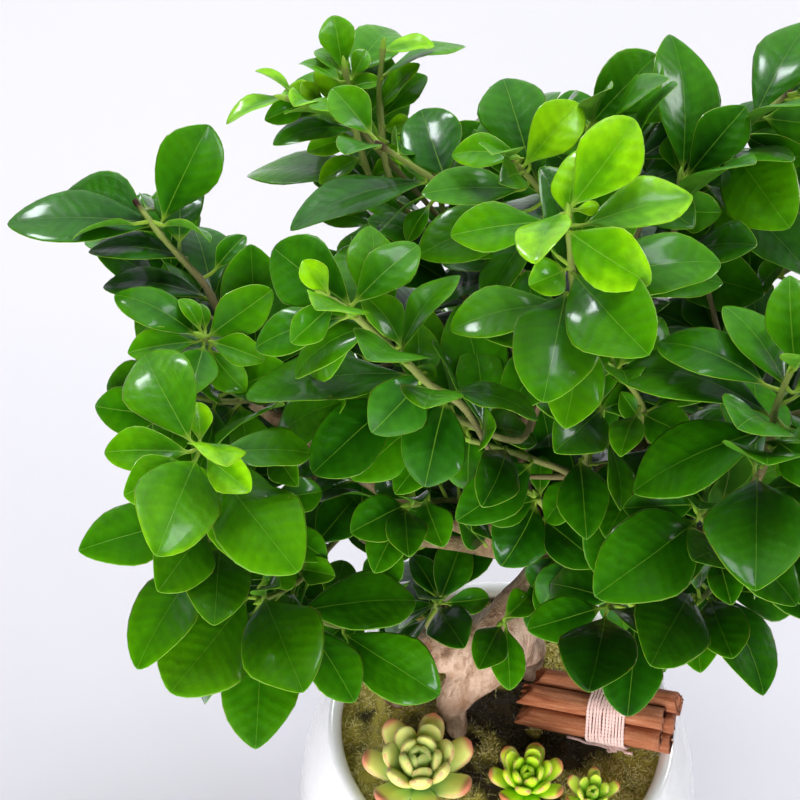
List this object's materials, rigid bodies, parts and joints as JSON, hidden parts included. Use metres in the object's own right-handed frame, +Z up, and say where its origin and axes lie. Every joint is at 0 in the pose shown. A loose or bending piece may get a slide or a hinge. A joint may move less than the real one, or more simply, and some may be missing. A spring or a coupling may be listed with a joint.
{
  "type": "ficus ginseng bonsai",
  "caption": "Potted ficus bonsai with fat raised roots and glossy leafy stems, in a round white bowl with moss, rosette succulents and a tied bundle of cinnamon.",
  "frame": {"origin": "middle of the pot's flat foot, on the surface that it stands on", "axes": "+Z up along the pot's axis; -Y towards the front, where the succulents are; +X to the right, where the cinnamon reaches over the rim"},
  "size_m": [0.4028, 0.2996, 0.4788],
  "materials": {
    "pot": "glossy white glaze",
    "soil": "matte damp compost of bark and peat",
    "moss": "matte clumps",
    "bark": "smooth matte bark",
    "leaf": "glossy leaf",
    "succulent": "waxy satin leaf",
    "cinnamon": "matte rolled bark",
    "twine": "matte twisted fibre"
  },
  "bodies": {
    "root": {"cinnamon_1": "cinnamon", "cinnamon_2": "cinnamon", "cinnamon_3": "cinnamon", "cinnamon_4": "cinnamon", "cinnamon_5": "cinnamon", "cinnamon_6": "cinnamon", "cinnamon_7": "cinnamon", "moss": "moss", "pot": "pot", "shoot_back_high": "leaf", "shoot_back_left": "leaf", "shoot_back_left_low": "leaf", "shoot_back_low": "leaf", "shoot_back_middle": "leaf", "shoot_back_right": "leaf", "shoot_back_right_low": "leaf", "shoot_back_side": "leaf", "shoot_back_tip": "leaf", "shoot_back_top": "leaf", "shoot_crown_back": "leaf", "shoot_front_deep": "leaf", "shoot_front_low": "leaf", "shoot_front_tip": "leaf", "shoot_front_under": "leaf", "shoot_left_back": "leaf", "shoot_left_behind": "leaf", "shoot_left_low": "leaf", "shoot_left_lowest": "leaf", "shoot_left_reach": "leaf", "shoot_left_rosette": "leaf", "shoot_left_upper": "leaf", "shoot_low_middle": "leaf", "shoot_middle": "leaf", "shoot_middle_low": "leaf", "shoot_middle_up": "leaf", "shoot_right_far": "leaf", "shoot_right_far_back": "leaf", "shoot_right_far_front": "leaf", "shoot_right_far_low": "leaf", "shoot_right_front": "leaf", "shoot_right_low": "leaf", "shoot_right_lowest": "leaf", "shoot_right_mid": "leaf", "shoot_right_top": "leaf", "shoot_sprout_left": "leaf", "shoot_sprout_right": "leaf", "shoot_top_front": "leaf", "shoot_top_high": "leaf", "shoot_top_left": "leaf", "shoot_top_right": "leaf", "shoot_top_rosette": "leaf", "soil": "soil", "succulent_large": "succulent", "succulent_middle": "succulent", "succulent_small": "succulent", "trunk_and_limbs": "bark", "twine": "twine"}
  },
  "joints": []
}
